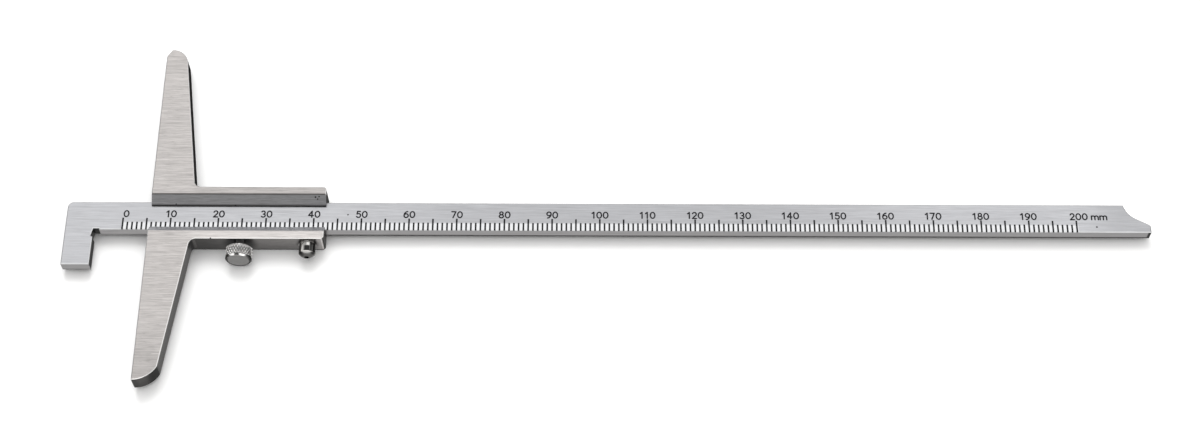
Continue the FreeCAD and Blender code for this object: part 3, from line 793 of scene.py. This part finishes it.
def add_text(mesh, text, place):
    """Add flat figures, centred on place, and return their faces."""
    width = sum(GLYPHS[letter][0] for letter in text) + GLYPH_GAP * (len(text) - 1)
    left = -width / 2
    faces = []
    for letter in text:
        advance, strokes = GLYPHS[letter]
        for order, stroke in enumerate(strokes):
            start = place + order * STROKE_STEP * UP
            points = [start + Vector((left + x, y, 0.0)) * NUMBER_HEIGHT for x, y in stroke]
            faces += add_stroke(mesh, points, NUMBER_STROKE, UP)
        left += advance + GLYPH_GAP
    return faces


def build_scale(ink):
    """Millimetre marks that run over the beam's lower edge, and a number at every tenth."""
    lower_edge = BEAM_HIGH.y - BEAM_WIDTH + BEAM_RIM
    down_the_rim = Vector((0.0, -BEAM_RIM, -BEAM_RIM))
    rim_normal = Vector((0.0, -1.0, 1.0)).normalized()
    marks = bmesh.new()
    face_marks, rim_marks = [], []
    for number in range(SCALE_LENGTH + 1):
        foot = Vector((SCALE_ZERO + number * MM, lower_edge, BEAM_HIGH.z))
        head = foot + Vector((0.0, mark_length(number, MARK_LENGTHS) - BEAM_RIM, 0.0))
        face_marks += add_stroke(marks, [foot, head], MARK_WIDTH, UP, False)
        rim_marks += add_stroke(marks, [foot + down_the_rim, foot], MARK_WIDTH, rim_normal, False)
    thicken(marks, face_marks, UP)
    thicken(marks, rim_marks, rim_normal)
    finish_piece("scale_marks", marks, "beam", ink)

    numbers = bmesh.new()
    faces = []
    for number in range(0, SCALE_LENGTH + 1, 10):
        place = Vector((SCALE_ZERO + number * MM, NUMBER_BASE, BEAM_HIGH.z))
        if number in (0, SCALE_LENGTH):
            place.x += END_SHIFT
        faces += add_text(numbers, str(number), place)
    faces += add_text(numbers, "mm", place + Vector((UNIT_SHIFT, 0.0, 0.0)))
    thicken(numbers, faces, UP)
    finish_piece("scale_numbers", numbers, "beam", ink)


def build_vernier(ink):
    """Fine vernier lines on the bevel of the slide's lower lip."""
    slope = (LIP_TOP - LIP_EDGE).normalized()
    normal = Vector((1.0, 0.0, 0.0)).cross(slope)
    if normal.z < 0:
        normal = -normal
    marks = bmesh.new()
    faces = []
    for number in range(VERNIER_STEPS + 1):
        start = LIP_EDGE + Vector((VERNIER_ZERO + number * VERNIER_STEP, 0.0, 0.0)) + slope * BEAM_RIM
        end = start + slope * mark_length(number, VERNIER_LENGTHS)
        faces += add_stroke(marks, [start, end], VERNIER_WIDTH, normal, False)
    thicken(marks, faces, normal)
    finish_piece("vernier_marks", marks, "slide", ink)


def build_floor():
    """A wide white table."""
    material, _, shader, _ = new_material("table_white", 0.0, 0.9)
    shader.inputs["Base Color"].default_value = TABLE_WHITE
    shader.inputs["Specular IOR Level"].default_value = 0.0
    grid = bmesh.new()
    bmesh.ops.create_grid(grid, x_segments=8, y_segments=8, size=TABLE_SIZE)
    data = bpy.data.meshes.new("table")
    grid.to_mesh(data)
    grid.free()
    data.materials.append(material)
    table = bpy.data.objects.new("table", data)
    bpy.context.scene.collection.objects.link(table)
    table.visible_glossy = False


def strip(tree, side, height, window, level):
    """A strip of light on one side of the surroundings, between the heights of a window with soft edges."""
    return every(tree, rising(tree, side, *STRIP_SPREAD, level), within(tree, height, *window))


def build_world():
    """Studio surroundings: bright above, dark below on the far side and round the tent's opening.

    Low strips of light stand at the front and at both flanks.
    """
    world = bpy.data.worlds.new("studio")
    bpy.context.scene.world = world
    world.use_nodes = True
    tree = world.node_tree
    direction = node(tree, "ShaderNodeTexCoord").outputs["Generated"]
    split = split_up(tree, direction)
    lateral = combine(tree, "ABSOLUTE", split["X"], 0.0)
    low = remap(tree, lateral, *LOW_SPREAD, *LOW_LIGHT)
    below = every(tree, rising(tree, split["Y"], *FAR_SIDE), falling(tree, split["Z"], *DEEP))
    low = every(tree, low, rest_of(tree, every(tree, below, DEEP_SHADE)))
    nearness = node(tree, "ShaderNodeVectorMath", {0: direction, 1: OPENING}, operation="DOT_PRODUCT")
    shade = remap(tree, nearness.outputs["Value"], *OPENING_SPREAD, *OPENING_LIGHT)
    high = every(tree, remap(tree, split["Y"], *HIGH_SPREAD, *HIGH_LIGHT), shade)
    rise = every(tree, combine(tree, "SUBTRACT", high, low), rising(tree, split["Z"], *HORIZON))
    around = combine(tree, "ADD", low, rise)
    front = strip(tree, every(tree, split["Y"], -1.0), split["Z"], FRONT_WINDOW, FRONT_LIGHT)
    flanks = strip(tree, lateral, split["Z"], FLANK_WINDOW, FLANK_LIGHT)
    background = tree.nodes["Background"]
    background.inputs["Color"].default_value = STUDIO_TINT
    tree.links.new(largest(tree, around, largest(tree, front, flanks)), background.inputs["Strength"])


def add_softbox(name, place, size, power):
    """A large round lamp at place, turned towards the gauge, which no metal mirrors."""
    lamp = bpy.data.lights.new(name, "AREA")
    lamp.shape = "DISK"
    lamp.size = size
    lamp.energy = power
    holder = bpy.data.objects.new(name, lamp)
    holder.location = place
    holder.rotation_euler = (LAMP_AIM - place).to_track_quat("-Z", "Y").to_euler()
    holder.visible_glossy = False
    bpy.context.scene.collection.objects.link(holder)


def build_camera():
    """The photograph's camera."""
    forward = Vector((0.0, math.sin(CAMERA_TILT), -math.cos(CAMERA_TILT)))
    right = Vector((1.0, 0.0, 0.0))
    turn = Matrix.Rotation(CAMERA_YAW, 3, "Z")
    forward, right = turn @ forward, turn @ right
    above = right.cross(forward)
    rolled_right = math.cos(CAMERA_ROLL) * right + math.sin(CAMERA_ROLL) * above
    rolled_above = math.cos(CAMERA_ROLL) * above - math.sin(CAMERA_ROLL) * right
    camera = bpy.data.cameras.new("camera")
    camera.sensor_fit = "HORIZONTAL"
    camera.sensor_width = SENSOR
    camera.lens = FOCAL_PIXELS / PHOTO_WIDTH * SENSOR
    camera.clip_start = 0.005
    camera.clip_end = 20.0
    holder = bpy.data.objects.new("camera", camera)
    pose = Matrix((rolled_right, rolled_above, -forward)).transposed().to_4x4()
    pose.translation = CAMERA_PLACE
    holder.matrix_world = pose
    bpy.context.scene.collection.objects.link(holder)
    bpy.context.scene.camera = holder


set_material("beam", beam_finish())
set_material("slide_body", slide_finish())
set_material("leaf_spring", spring_finish())
# The screws get painted shade on their outer ends and where their masks ask for it.
set_material("clamp_screw", turned_metal(
    "screw_steel", SCREW_STEEL, roughness=0.13, contrast=0.12, end_shade=0.325, painted_shade=clamp_soil))
set_material("clamp_pad", turned_metal("pad_brass", PAD_BRASS, roughness=0.32))
set_material("keeper_screw", turned_metal(
    "polished_steel", KEEPER_STEEL, roughness=0.12, ring=0.04, contrast=0.1, depth=0.001, end_shade=0.6,
    painted_shade=keeper_soil))
set_material("keeper_washer", turned_metal("washer_steel", WASHER_STEEL, roughness=0.24))

build_scale(mark_ink("scale_ink", SCALE_INK))
build_vernier(mark_ink("vernier_ink", VERNIER_INK))

build_floor()
build_world()
for lamp_name, lamp_place, lamp_size, lamp_power in LAMPS:
    add_softbox(lamp_name, lamp_place, lamp_size, lamp_power)
build_camera()
bpy.context.scene.view_settings.view_transform = "Standard"
